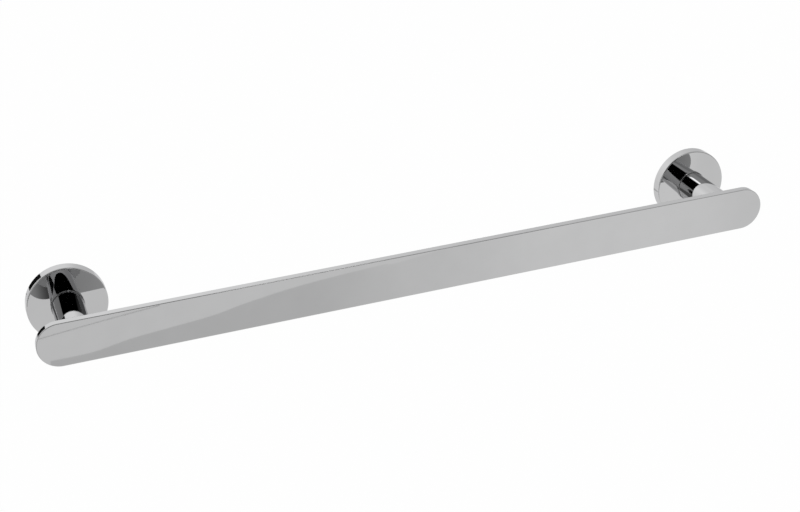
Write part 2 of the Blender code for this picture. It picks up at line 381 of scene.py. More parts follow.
class NodeBoard:
    """Lays out the nodes of one material or world."""

    def __init__(self, tree: bpy.types.NodeTree) -> None:
        """Starts on a tree, keeping the nodes that it has."""
        self.tree = tree

    def add(self, kind: str, **settings: object) -> bpy.types.Node:
        """Adds a node.

        Args:
            kind: the node's Blender type.
            settings: its properties, by name.

        Returns:
            The new node.
        """
        node = self.tree.nodes.new(kind)
        for key, value in settings.items():
            setattr(node, key, value)
        return node

    def join(self, out: bpy.types.NodeSocket, into: bpy.types.NodeSocket) -> None:
        """Links two sockets."""
        self.tree.links.new(out, into)

    def noise(self, place: bpy.types.NodeSocket, scale: float, detail: float) -> bpy.types.NodeSocket:
        """A noise pattern.

        Args:
            place: the point to read the pattern at.
            scale: patches in a metre.
            detail: octaves of finer noise.

        Returns:
            The pattern's value, about 0.5 on average.
        """
        node = self.add("ShaderNodeTexNoise")
        node.inputs["Scale"].default_value = scale
        node.inputs["Detail"].default_value = detail
        self.join(place, node.inputs["Vector"])
        return node.outputs["Fac"]

    def span(self, value: bpy.types.NodeSocket, low: float, high: float) -> bpy.types.NodeSocket:
        """Maps the middle of a noise pattern to a range.

        Args:
            value: the pattern's value.
            low: the result where the pattern is at 0.3.
            high: the result where the pattern is at 0.7.

        Returns:
            The mapped value.
        """
        node = self.add("ShaderNodeMapRange")
        node.inputs["From Min"].default_value = 0.3
        node.inputs["From Max"].default_value = 0.7
        node.inputs["To Min"].default_value = low
        node.inputs["To Max"].default_value = high
        self.join(value, node.inputs["Value"])
        return node.outputs["Result"]

    def tint(self, share: bpy.types.NodeSocket, low: Colour, high: Colour) -> bpy.types.NodeSocket:
        """Mixes two colours.

        Args:
            share: how much of the second colour.
            low: the first colour.
            high: the second colour.

        Returns:
            The mixed colour.
        """
        node = self.add("ShaderNodeMix", data_type="RGBA")
        node.inputs["A"].default_value = (*low, 1)
        node.inputs["B"].default_value = (*high, 1)
        self.join(share, node.inputs["Factor"])
        return node.outputs["Result"]

    def bump(
        self,
        height: bpy.types.NodeSocket,
        depth: float,
        under: Optional[bpy.types.NodeSocket] = None,
    ) -> bpy.types.NodeSocket:
        """A bump.

        Args:
            height: the pattern's value.
            depth: height of the full pattern, in metres.
            under: a coarser bump below this one, if there is one.

        Returns:
            The bent normal.
        """
        node = self.add("ShaderNodeBump")
        node.inputs["Distance"].default_value = depth
        self.join(height, node.inputs["Height"])
        if under:
            self.join(under, node.inputs["Normal"])
        return node.outputs["Normal"]


@dataclass(frozen=True)
class PolishedChrome:
    """Bright chrome plate on a buffed surface.

    Attributes:
        bright: colour of the clean plate.
        veiled: colour where the plate is a little milky.
        smooth: least roughness.
        hazy: greatest roughness.
        ripple: height of the buffing waves.
        ripple_scale: buffing waves in a metre.
        edge: tint of what it mirrors at a low angle.
    """

    bright: Colour = (0.548, 0.549, 0.552)
    veiled: Colour = (0.532, 0.533, 0.536)
    smooth: float = 0.008
    hazy: float = 0.024
    ripple: float = 0.0000015
    ripple_scale: float = 38.0
    edge: Colour = (0.80, 0.80, 0.81)

    def material(self) -> bpy.types.Material:
        """Makes the material."""
        made = bpy.data.materials.new("polished_chrome")
        made.use_nodes = True
        board = NodeBoard(made.node_tree)
        shader = made.node_tree.nodes["Principled BSDF"]
        shader.inputs["Metallic"].default_value = 1.0
        shader.inputs["Specular Tint"].default_value = (*self.edge, 1)
        place = board.add("ShaderNodeTexCoord").outputs["Object"]
        veil = board.noise(place, 60.0, 4.0)
        board.join(board.tint(board.span(veil, 0.0, 1.0), self.bright, self.veiled), shader.inputs["Base Color"])
        grain = board.noise(place, 900.0, 6.0)
        board.join(board.span(grain, self.smooth, self.hazy), shader.inputs["Roughness"])
        waves = board.noise(place, self.ripple_scale, 1.0)
        board.join(board.bump(waves, self.ripple), shader.inputs["Normal"])
        return made


@dataclass(frozen=True)
class ZincPlate:
    """Zinc plate, with its fine bluish crystals.

    Attributes:
        light: colour of the lighter crystals.
        dark: colour of the darker crystals.
        crystal_scale: crystals in a metre.
        pitting: depth of the fine pitting.
    """

    light: Colour = (0.60, 0.62, 0.65)
    dark: Colour = (0.44, 0.45, 0.48)
    crystal_scale: float = 700.0
    pitting: float = 0.00002

    def material(self) -> bpy.types.Material:
        """Makes the material."""
        made = bpy.data.materials.new("zinc_plate")
        made.use_nodes = True
        board = NodeBoard(made.node_tree)
        shader = made.node_tree.nodes["Principled BSDF"]
        shader.inputs["Metallic"].default_value = 1.0
        place = board.add("ShaderNodeTexCoord").outputs["Object"]
        crystals = board.add("ShaderNodeTexVoronoi")
        crystals.inputs["Scale"].default_value = self.crystal_scale
        board.join(place, crystals.inputs["Vector"])
        shade = board.add("ShaderNodeSeparateColor")
        board.join(crystals.outputs["Color"], shade.inputs["Color"])
        board.join(board.tint(shade.outputs["Red"], self.dark, self.light), shader.inputs["Base Color"])
        cloud = board.noise(place, 260.0, 5.0)
        board.join(board.span(cloud, 0.32, 0.5), shader.inputs["Roughness"])
        pits = board.noise(place, 3200.0, 3.0)
        board.join(board.bump(pits, self.pitting), shader.inputs["Normal"])
        return made


@dataclass(frozen=True)
class MachinedSteel:
    """Plain stainless steel with the marks of turning about local Z.

    Attributes:
        light: colour of the bright marks.
        dark: colour of the dull marks.
        mark_scale: turning marks in a metre.
        mark_depth: depth of the marks.
    """

    light: Colour = (0.64, 0.63, 0.61)
    dark: Colour = (0.50, 0.49, 0.47)
    mark_scale: float = 900.0
    mark_depth: float = 0.000012

    def material(self) -> bpy.types.Material:
        """Makes the material."""
        made = bpy.data.materials.new("machined_steel")
        made.use_nodes = True
        board = NodeBoard(made.node_tree)
        shader = made.node_tree.nodes["Principled BSDF"]
        shader.inputs["Metallic"].default_value = 1.0
        place = board.add("ShaderNodeTexCoord").outputs["Object"]
        marks = board.add("ShaderNodeTexWave", wave_type="RINGS", rings_direction="SPHERICAL")
        marks.inputs["Scale"].default_value = self.mark_scale
        marks.inputs["Distortion"].default_value = 1.2
        board.join(place, marks.inputs["Vector"])
        board.join(board.tint(marks.outputs["Fac"], self.dark, self.light), shader.inputs["Base Color"])
        smear = board.noise(place, 1400.0, 4.0)
        board.join(board.span(smear, 0.2, 0.36), shader.inputs["Roughness"])
        board.join(board.bump(marks.outputs["Fac"], self.mark_depth), shader.inputs["Normal"])
        return made


class Finishes:
    """The finished materials, each made once."""

    def __init__(self) -> None:
        """Makes every material."""
        self.by_slot: dict[Slot, bpy.types.Material] = {
            Slot.CHROME: PolishedChrome().material(),
            Slot.ZINC: ZincPlate().material(),
            Slot.STEEL: MachinedSteel().material(),
        }

    def dress(self, piece: bpy.types.Object, node: str, slot: Slot) -> bpy.types.Object:
        """Gives a piece its finish and puts it in the frame in place of a node.

        Args:
            piece: the finer mesh.
            node: the node that it stands for.
            slot: the material slot that it takes its finish from.

        Returns:
            The same piece.
        """
        piece.data.materials.clear()
        piece.data.materials.append(self.by_slot[slot])
        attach(piece, BODY)
        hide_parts(node)
        log.info("%s stands for %s, %d faces", piece.name, node, len(piece.data.polygons))
        return piece


# Pieces


@dataclass(frozen=True)
class Envelope:
    """Where a node of the frame stands, as its support sees it.

    Attributes:
        centre: X of its middle.
        radius: half its width along X.
        rear: distance of its wall end from the wall.
        front: distance of its room end from the wall.
        bottom: its lowest Z.
        top: its highest Z.
    """

    centre: float
    radius: float
    rear: float
    front: float
    bottom: float
    top: float

    @classmethod
    def of(cls, node: str) -> "Envelope":
        """Reads a node's envelope.

        Args:
            node: the node's name.

        Returns:
            The envelope.
        """
        low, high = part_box(node)
        return cls((low.x + high.x) / 2, (high.x - low.x) / 2, -high.y, -low.y, low.z, high.z)


def support_place(x: float) -> Matrix:
    """The frame of a support whose axis is at an X."""
    return Matrix.Translation((x, 0, 0)) @ Matrix.Rotation(math.pi / 2, 4, "X")


def drill_depth(radius: float, point_angle: float = 118.0) -> float:
    """Depth of the cone that a drill leaves at the end of a blind hole.

    Args:
        radius: the hole's radius.
        point_angle: the drill's point angle, in degrees.

    Returns:
        The cone's depth.
    """
    return radius / math.tan(math.radians(point_angle / 2))


@dataclass
class FlatBar:
    """The flat bar with round ends and polished edges.

    Attributes:
        edge_round: radius of the polished edges.
        edge_steps: facets across an edge.
        hole_radius: radius of the blind stud holes in the back.
        hole_depth: depth of the stud holes.
    """

    edge_round: float = 0.0005
    edge_steps: int = 8
    hole_radius: float = 0.0033
    hole_depth: float = 0.0034

    def levels(self, rear: float, front: float) -> list[tuple[float, float]]:
        """Insets and heights across the bar's thickness.

        Args:
            rear: distance of the back face from the wall.
            front: distance of the front face from the wall.

        Returns:
            (inset, height) pairs from back to front.
        """
        near: list[tuple[float, float]] = []
        for step in range(self.edge_steps + 1):
            turn = math.radians(90 * step / self.edge_steps)
            near.append((self.edge_round * (1 - math.sin(turn)), self.edge_round * (1 - math.cos(turn))))
        back = [(inset, rear + rise) for inset, rise in near]
        face = [(inset, front - rise) for inset, rise in reversed(near)]
        return back + face

    def build(self, finishes: Finishes) -> bpy.types.Object:
        """Builds and dresses the bar.

        Args:
            finishes: the materials.

        Returns:
            The bar.
        """
        room = Envelope.of("bar")
        outline = stadium(2 * room.radius, room.top - room.bottom)
        bar = stacked("bar_polished", outline, self.levels(room.rear, room.front), support_place(room.centre))
        holes = []
        for side in Side:
            x = Envelope.of("post_" + side.value).centre
            points = [(0, room.rear + self.hole_depth), (self.hole_radius, room.rear + self.hole_depth)]
            points += [(self.hole_radius, room.rear - self.hole_depth), (0, room.rear - self.hole_depth)]
            holes.append(turned("stud_hole_" + side.value, points, False, support_place(x), 64))
        shaded(carved(bar, holes))
        return finishes.dress(bar, "bar", Slot.CHROME)


@dataclass
class Post:
    """A round post, tapped from both ends.

    Attributes:
        end_chamfer: width of the chamfer at both ends.
        break_round: radius that polishing leaves on the chamfer's corners.
        hole_radius: radius of both tapped holes.
        foot_round: radius of the fine fillet where the post meets the flange's face.
        front_hole: depth of the hole for the bar's stud.
        rear_hole: depth of the hole for the flange's screw.
    """

    end_chamfer: float = 0.0005
    break_round: float = 0.00015
    foot_round: float = 0.0006
    hole_radius: float = 0.0033
    front_hole: float = 0.016
    rear_hole: float = 0.0145

    def build(self, side: Side, finishes: Finishes) -> bpy.types.Object:
        """Builds and dresses a post.

        Args:
            side: which support it belongs to.
            finishes: the materials.

        Returns:
            The post.
        """
        node = "post_" + side.value
        room = Envelope.of(node)
        rim = room.radius - self.end_chamfer
        front_end = room.front - self.front_hole
        rear_end = room.rear + self.rear_hole
        corners = [Corner(0, front_end - drill_depth(self.hole_radius)), Corner(self.hole_radius, front_end)]
        corners += [Corner(self.hole_radius, room.front), Corner(rim, room.front, self.break_round)]
        corners += [Corner(room.radius, room.front - self.end_chamfer, self.break_round)]
        face = Envelope.of("flange_" + side.value).front
        foot = room.radius + self.foot_round
        corners += [Corner(room.radius, face + 0.00002, self.foot_round * 0.98), Corner(foot, face + 0.00002)]
        corners += [Corner(foot - 0.00002, face), Corner(room.radius, face), Corner(room.radius, room.rear)]
        corners += [Corner(self.hole_radius, room.rear)]
        corners += [Corner(self.hole_radius, rear_end), Corner(0, rear_end + drill_depth(self.hole_radius))]
        points = filleted(corners, closed=False, steps=6)
        post = shaded(turned(node + "_polished", points, False, support_place(room.centre)))
        return finishes.dress(post, node, Slot.CHROME)


@dataclass
class WallFlange:
    """A cup-shaped wall flange with a shallow seat for the post.

    Attributes:
        front_wall: thickness of the face.
        rim_wall: thickness of the rim.
        edge_round: radius of the rim's front edge.
        back_chamfer: chamfer of the rim's back edge.
        inner_fillet: fillet inside the cup.
        seat_depth: depth of the post's seat.
        seat_clearance: space round the post in its seat.
        seat_chamfer: chamfer round the seat.
        crown: how far the domed face falls from the seat to the rim.
        crown_steps: facets across the domed face.
        hole_radius: radius of the screw hole.
        grub_clearance: space round the grub screw.
    """

    front_wall: float = 0.0025
    rim_wall: float = 0.003
    edge_round: float = 0.0008
    back_chamfer: float = 0.0003
    inner_fillet: float = 0.0006
    seat_depth: float = 0.0008
    seat_clearance: float = 0.0001
    seat_chamfer: float = 0.0002
    crown: float = 0.0005
    crown_steps: int = 14
    hole_radius: float = 0.0033
    grub_clearance: float = 0.0003

    def corners(self, room: Envelope, post_radius: float) -> list[Corner]:
        """The corners of the flange's section.

        Args:
            room: where the flange stands.
            post_radius: radius of the post in the seat.

        Returns:
            The corners, from the seat outwards and round through the cup.
        """
        seat = post_radius + self.seat_clearance
        cup = room.radius - self.rim_wall
        inner = seat + self.seat_chamfer
        bend = self.crown / (room.radius**2 - inner**2)
        reach = room.radius - 1.2 * self.edge_round - inner
        across = [inner + reach * step / self.crown_steps for step in range(1, self.crown_steps + 1)]
        return [
            Corner(self.hole_radius, room.front - self.seat_depth),
            Corner(seat, room.front - self.seat_depth),
            Corner(seat, room.front - self.seat_chamfer),
            Corner(inner, room.front, self.seat_chamfer / 3),
            *[Corner(radius, room.front - bend * (radius**2 - inner**2)) for radius in across],
            Corner(room.radius, room.front - self.crown, self.edge_round),
            Corner(room.radius, room.rear + self.back_chamfer),
            Corner(room.radius - self.back_chamfer, room.rear),
            Corner(cup, room.rear),
            Corner(cup, room.front - self.front_wall, self.inner_fillet),
            Corner(self.hole_radius, room.front - self.front_wall),
        ]

    def grub_hole(self, side: Side) -> bpy.types.Object:
        """The cutter for the tapped hole under the rim.

        Args:
            side: which support it belongs to.

        Returns:
            The cutter.
        """
        grub = Envelope.of("grub_screw_" + side.value)
        radius = grub.radius + self.grub_clearance
        depth = self.rim_wall
        points = [(0, depth), (radius, depth), (radius, -depth), (0, -depth)]
        level = (grub.rear + grub.front) / 2
        place = Matrix.Translation((grub.centre, -level, grub.bottom + self.rim_wall / 2))
        return turned("grub_hole_" + side.value, points, False, place, 64)

    def build(self, side: Side, finishes: Finishes) -> bpy.types.Object:
        """Builds and dresses a flange.

        Args:
            side: which support it belongs to.
            finishes: the materials.

        Returns:
            The flange.
        """
        node = "flange_" + side.value
        room = Envelope.of(node)
        corners = self.corners(room, Envelope.of("post_" + side.value).radius)
        points = filleted(corners, closed=True)
        flange = turned(node + "_polished", points, True, support_place(room.centre), 256)
        shaded(carved(flange, [self.grub_hole(side)]))
        return finishes.dress(flange, node, Slot.CHROME)


@dataclass
class WallBracket:
    """The round bracket inside a flange, with an undercut edge and two slots with room for screw heads.

    Attributes:
        undercut: how far the edge slopes in towards the wall.
        edge_land: straight part of the edge.
        corner_round: radius of its corners.
        hole_radius: radius of the hole for the flange screw's head.
        slot_length: length of a slot, which stands upright.
        slot_width: width of a slot.
        head_width: width of the recess for a screw's head.
        head_depth: depth of that recess.
        slot_offset: distance of each slot from the middle.
    """

    undercut: float = 0.0012
    edge_land: float = 0.0008
    corner_round: float = 0.00025
    hole_radius: float = 0.007
    slot_length: float = 0.009
    slot_width: float = 0.0046
    head_width: float = 0.009
    head_depth: float = 0.0024
    slot_offset: float = 0.014025

    def slots(self, side: Side, room: Envelope) -> list[bpy.types.Object]:
        """The cutters for both slots and their recesses.

        Args:
            side: which support the bracket belongs to.
            room: where the bracket stands.

        Returns:
            The cutters.
        """
        cutters: list[bpy.types.Object] = []
        head_length = self.slot_length + self.head_width - self.slot_width
        over = 0.001
        for number, x in enumerate((-self.slot_offset, self.slot_offset), start=1):
            upright = Matrix.Translation((x, 0, 0)) @ Matrix.Rotation(math.pi / 2, 4, "Z")
            place = support_place(room.centre) @ upright
            slot = stadium(self.slot_length, self.slot_width, 24)
            head = stadium(head_length, self.head_width, 24)
            floor = room.front - self.head_depth
            label = side.value + "_" + str(number)
            through = ((0, room.rear - over), (0, room.front + over))
            sunk = ((0, floor), (0, room.front - 0.0003), (-over - 0.0003, room.front + over))
            cutters.append(stacked("slot_" + label, slot, through, place))
            cutters.append(stacked("slot_head_" + label, head, sunk, place))
        return cutters

    def build(self, side: Side, finishes: Finishes) -> bpy.types.Object:
        """Builds and dresses a bracket.

        Args:
            side: which support it belongs to.
            finishes: the materials.

        Returns:
            The bracket.
        """
        node = "wall_bracket_" + side.value
        room = Envelope.of(node)
        small = self.corner_round
        corners = [
            Corner(self.hole_radius, room.front, small),
            Corner(room.radius, room.front, small),
            Corner(room.radius, room.front - self.edge_land, small),
            Corner(room.radius - self.undercut, room.rear, small),
            Corner(self.hole_radius, room.rear, small),
        ]
        points = filleted(corners, closed=True, steps=4)
        bracket = turned(node + "_plated", points, True, support_place(room.centre))
        shaded(carved(bracket, self.slots(side, room)))
        return finishes.dress(bracket, node, Slot.ZINC)


@dataclass
class FlangeScrew:
    """The button-head screw that pulls a flange against its post.

    Attributes:
        shank_radius: radius over the thread's crests.
        head_height: height of the head.
        tip_chamfer: chamfer of the tip.
        across_flats: size of the hexagon socket.
        socket_depth: depth of the socket.
        pitch: pitch of the thread.
        thread_depth: depth of the thread.
        dome_steps: facets across the head's dome.
    """

    shank_radius: float = 0.003
    head_height: float = 0.0032
    tip_chamfer: float = 0.0006
    across_flats: float = 0.004
    socket_depth: float = 0.002
    pitch: float = 0.001
    thread_depth: float = 0.00045
    dome_steps: int = 14

    def outline(self, room: Envelope) -> list[Point]:
        """The screw's outline.

        Args:
            room: where the screw stands.

        Returns:
            The points from the tip to the middle of the head.
        """
        underside = room.rear + self.head_height
        shoulder = underside - self.head_height / 4
        crown = self.across_flats / math.sqrt(3) + 0.0004
        points = [(0, room.front), (self.shank_radius - self.tip_chamfer, room.front)]
        points += [(self.shank_radius, room.front - self.tip_chamfer), (self.shank_radius, underside)]
        points += [(room.radius - 0.0002, underside), (room.radius, underside - 0.0002)]
        for step in range(self.dome_steps + 1):
            turn = math.radians(90 * step / self.dome_steps)
            across = crown + (room.radius - crown) * math.cos(turn)
            points.append((across, shoulder - (shoulder - room.rear) * math.sin(turn)))
        return points + [(0, room.rear)]

    def build(self, side: Side, finishes: Finishes) -> bpy.types.Object:
        """Builds and dresses a screw.

        Args:
            side: which support it belongs to.
            finishes: the materials.

        Returns:
            The screw.
        """
        node = "flange_screw_" + side.value
        room = Envelope.of(node)
        place = support_place(room.centre)
        start = room.rear + self.head_height + self.pitch
        thread = Thread(self.pitch, self.thread_depth, start, room.front)
        screw = turned(node + "_threaded", self.outline(room), False, place, 96, thread)
        floor = room.rear + self.socket_depth
        levels = ((-0.0004, room.rear - 0.0003), (0, room.rear + 0.0001), (0, floor), (0.0012, floor + 0.0004))
        shaded(carved(screw, [stacked("socket_" + node, hexagon(self.across_flats), levels, place)]))
        return finishes.dress(screw, node, Slot.STEEL)


@dataclass
class LockWasher:
    """The split spring washer under a flange screw's head.

    Attributes:
        hole_radius: radius of its hole.
        edge_round: radius of its edges.
        split: width of the split.
        split_angle: slope of the split, in degrees.
    """

    hole_radius: float = 0.0033
    edge_round: float = 0.00015
    split: float = 0.0009
    split_angle: float = 25.0

    def cutter(self, side: Side, room: Envelope) -> bpy.types.Object:
        """The cutter for the split.

        Args:
            side: which support the washer belongs to.
            room: where the washer stands.

        Returns:
            The cutter.
        """
        middle = (self.hole_radius + room.radius) / 2
        level = (room.rear + room.front) / 2
        half = (room.radius - self.hole_radius) / 2 + 0.0005
        reach = room.front - room.rear

        def outline(inset: float) -> list[Point]:
            """The corners of the split, set in by a distance."""
            across = self.split / 2 - inset
            return [(-across, -half), (across, -half), (across, half), (-across, half)]

        slope = Matrix.Rotation(math.radians(self.split_angle), 4, "Y")
        place = support_place(room.centre) @ Matrix.Translation((0, middle, level)) @ slope
        return stacked("washer_split_" + side.value, outline, ((0, -reach), (0, reach)), place)

    def build(self, side: Side, finishes: Finishes) -> bpy.types.Object:
        """Builds and dresses a washer.

        Args:
            side: which support it belongs to.
            finishes: the materials.

        Returns:
            The washer.
        """
        node = "lock_washer_" + side.value
        room = Envelope.of(node)
        corners = [
            Corner(self.hole_radius, room.front, self.edge_round),
            Corner(room.radius, room.front, self.edge_round),
            Corner(room.radius, room.rear, self.edge_round),
            Corner(self.hole_radius, room.rear, self.edge_round),
        ]
        points = filleted(corners, closed=True, steps=4)
        washer = turned(node + "_split", points, True, support_place(room.centre), 128)
        shaded(carved(washer, [self.cutter(side, room)]))
        return finishes.dress(washer, node, Slot.STEEL)


@dataclass
class GrubScrew:
    """The grub screw under a flange's rim, with a cone point and a hexagon socket.

    Attributes:
        point_flat: width of the flat on its point.
        end_chamfer: chamfer of its outer end.
        across_flats: size of the socket.
        socket_depth: depth of the socket.
        pitch: pitch of the thread.
        thread_depth: depth of the thread.
    """

    point_flat: float = 0.0012
    end_chamfer: float = 0.0003
    across_flats: float = 0.0016
    socket_depth: float = 0.0015
    pitch: float = 0.0006
    thread_depth: float = 0.00025

    def build(self, side: Side, finishes: Finishes) -> bpy.types.Object:
        """Builds and dresses a grub screw, which stands upright.

        Args:
            side: which support it belongs to.
            finishes: the materials.

        Returns:
            The grub screw.
        """
        node = "grub_screw_" + side.value
        room = Envelope.of(node)
        place = Matrix.Translation((room.centre, -(room.rear + room.front) / 2, 0))
        cone = room.radius - self.point_flat / 2
        points = [(0, room.top), (self.point_flat / 2, room.top), (room.radius, room.top - cone)]
        points += [(room.radius, room.bottom + self.end_chamfer)]
        points += [(room.radius - self.end_chamfer, room.bottom), (0, room.bottom)]
        thread = Thread(self.pitch, self.thread_depth, room.bottom + self.end_chamfer, room.top - cone)
        grub = turned(node + "_threaded", points, False, place, 96, thread)
        floor = room.bottom + self.socket_depth
        levels = ((-0.0002, room.bottom - 0.0001), (0, room.bottom + 0.0001), (0, floor), (0.0005, floor + 0.0002))
        shaded(carved(grub, [stacked("socket_" + node, hexagon(self.across_flats), levels, place)]))
        return finishes.dress(grub, node, Slot.STEEL)


@dataclass
class BarStud:
    """The stud that is brazed into the bar's back and screws into a post.

    Attributes:
        tip_chamfer: chamfer of its tip.
        pitch: pitch of the thread.
        thread_depth: depth of the thread.
    """

    tip_chamfer: float = 0.0006
    pitch: float = 0.001
    thread_depth: float = 0.00045

    def build(self, side: Side, finishes: Finishes) -> bpy.types.Object:
        """Builds and dresses a stud.

        Args:
            side: which support it belongs to.
            finishes: the materials.

        Returns:
            The stud.
        """
        node = "bar_stud_" + side.value
        room = Envelope.of(node)
        points = [(0, room.front), (room.radius, room.front), (room.radius, room.rear + self.tip_chamfer)]
        points += [(room.radius - self.tip_chamfer, room.rear), (0, room.rear)]
        end = Envelope.of("post_" + side.value).front - self.pitch
        thread = Thread(self.pitch, self.thread_depth, room.rear, end)
        stud = shaded(turned(node + "_threaded", points, False, support_place(room.centre), 96, thread))
        return finishes.dress(stud, node, Slot.STEEL)


# Studio


Stops = tuple[tuple[float, float], ...]


class StudioBoard(NodeBoard):
    """Lays out the nodes of the studio's cards, floor and world."""

    def ramp(self, value: bpy.types.NodeSocket, low: float, high: float, stops: Stops) -> bpy.types.NodeSocket:
        """A soft gradient of greys.

        Args:
            value: what the gradient runs along.
            low: the value at its start.
            high: the value at its end.
            stops: (value, grey) pairs, in order.

        Returns:
            The grey.
        """
        reach = self.add("ShaderNodeMapRange")
        reach.inputs["From Min"].default_value = low
        reach.inputs["From Max"].default_value = high
        self.join(value, reach.inputs["Value"])
        node = self.add("ShaderNodeValToRGB")
        bands = node.color_ramp
        bands.interpolation = "EASE"
        while len(bands.elements) < len(stops):
            bands.elements.new(0.5)
        for band, (place, grey) in zip(bands.elements, stops):
            band.position = (place - low) / (high - low)
        for band, (place, grey) in zip(bands.elements, stops):
            band.color = (grey / 2, grey / 2, grey / 2, 1)
        self.join(reach.outputs["Result"], node.inputs["Fac"])
        double = self.add("ShaderNodeMath", operation="MULTIPLY")
        double.inputs[1].default_value = 2.0
        self.join(node.outputs["Color"], double.inputs[0])
        return double.outputs["Value"]

    def blend(
        self,
        share: bpy.types.NodeSocket,
        first: bpy.types.NodeSocket,
        second: bpy.types.NodeSocket,
    ) -> bpy.types.NodeSocket:
        """Mixes two values.

        Args:
            share: how much of the second.
            first: the first value.
            second: the second value.

        Returns:
            The mixed value.
        """
        node = self.add("ShaderNodeMix", data_type="FLOAT")
        self.join(share, node.inputs["Factor"])
        self.join(first, node.inputs["A"])
        self.join(second, node.inputs["B"])
        return node.outputs["Result"]

    def times(self, first: bpy.types.NodeSocket, second: bpy.types.NodeSocket) -> bpy.types.NodeSocket:
        """The product of two values."""
        node = self.add("ShaderNodeMath", operation="MULTIPLY")
        self.join(first, node.inputs[0])
        self.join(second, node.inputs[1])
        return node.outputs["Value"]

    def axis(self, place: bpy.types.NodeSocket, name: str) -> bpy.types.NodeSocket:
        """One coordinate of a point or a direction."""
        node = self.add("ShaderNodeSeparateXYZ")
        self.join(place, node.inputs["Vector"])
        return node.outputs[name]


@dataclass(frozen=True)
class Card:
    """A flat studio card that stands along X and paints a reflection: it glows with its tones, lights nothing, casts
    no shadow and shows only in polished surfaces.

    Attributes:
        name: the card's name.
        distance: how far it stands in front of the wall plane; negative behind it.
        top: its upper edge from left to right, as (x, z) points.
        drop: how far its lower edge lies below the upper one.
        tones: the brightness of its painted reflection along X, where 1 is white.
    """

    name: str
    distance: float
    top: Stops
    drop: float
    tones: Stops

    def edge(self, steps: int = 12) -> list[Point]:
        """The upper edge as a smooth curve.

        Args:
            steps: points between two of the given ones.

        Returns:
            The (x, z) points from left to right.
        """
        last = len(self.top) - 1
        curve: list[Point] = []
        for index in range(last):
            near = [Vector(self.top[min(max(index + step, 0), last)]) for step in (-1, 0, 1, 2)]
            for step in range(steps):
                t = step / steps
                point = near[1] * (2 * t**3 - 3 * t**2 + 1) + near[2] * (3 * t**2 - 2 * t**3)
                point += (near[2] - near[0]) / 2 * (t**3 - 2 * t**2 + t)
                point += (near[3] - near[1]) / 2 * (t**3 - t**2)
                curve.append((point.x, point.y))
        return curve + [self.top[-1]]

    def light(self) -> bpy.types.Material:
        """Makes the card's material.

        Returns:
            A glow of its tones, seen only as a painted reflection.
        """
        paint = bpy.data.materials.new(self.name)
        paint.use_nodes = True
        board = StudioBoard(paint.node_tree)
        glow = board.add("ShaderNodeEmission")
        if len(self.tones) > 1:
            place = board.axis(board.add("ShaderNodeTexCoord").outputs["Object"], "X")
            tone = board.ramp(place, self.tones[0][0], self.tones[-1][0], self.tones)
            board.join(tone, glow.inputs["Strength"])
        else:
            glow.inputs["Strength"].default_value = self.tones[0][1]
        board.join(glow.outputs["Emission"], paint.node_tree.nodes["Material Output"].inputs["Surface"])
        return paint

    def build(self) -> bpy.types.Object:
        """Stands the card up.

        Returns:
            The card, which is part of the stage.
        """
        upper = self.edge()
        count = len(upper)
        points = [(x, -self.distance, z) for x, z in upper]
        points += [(x, -self.distance, z - self.drop) for x, z in upper]
        data = bpy.data.meshes.new(self.name)
        data.from_pydata(points, [], [(step, step + 1, count + step + 1, count + step) for step in range(count - 1)])
        data.materials.append(self.light())
        card = bpy.data.objects.new(self.name, data)
        # Painted reflection: the card is hidden from the camera and from diffuse light and casts no shadow, so it
        # shows only in polished surfaces.
        card.visible_camera = False
        card.visible_diffuse = False
        card.visible_shadow = False
        bpy.context.scene.collection.objects.link(card)
        return card
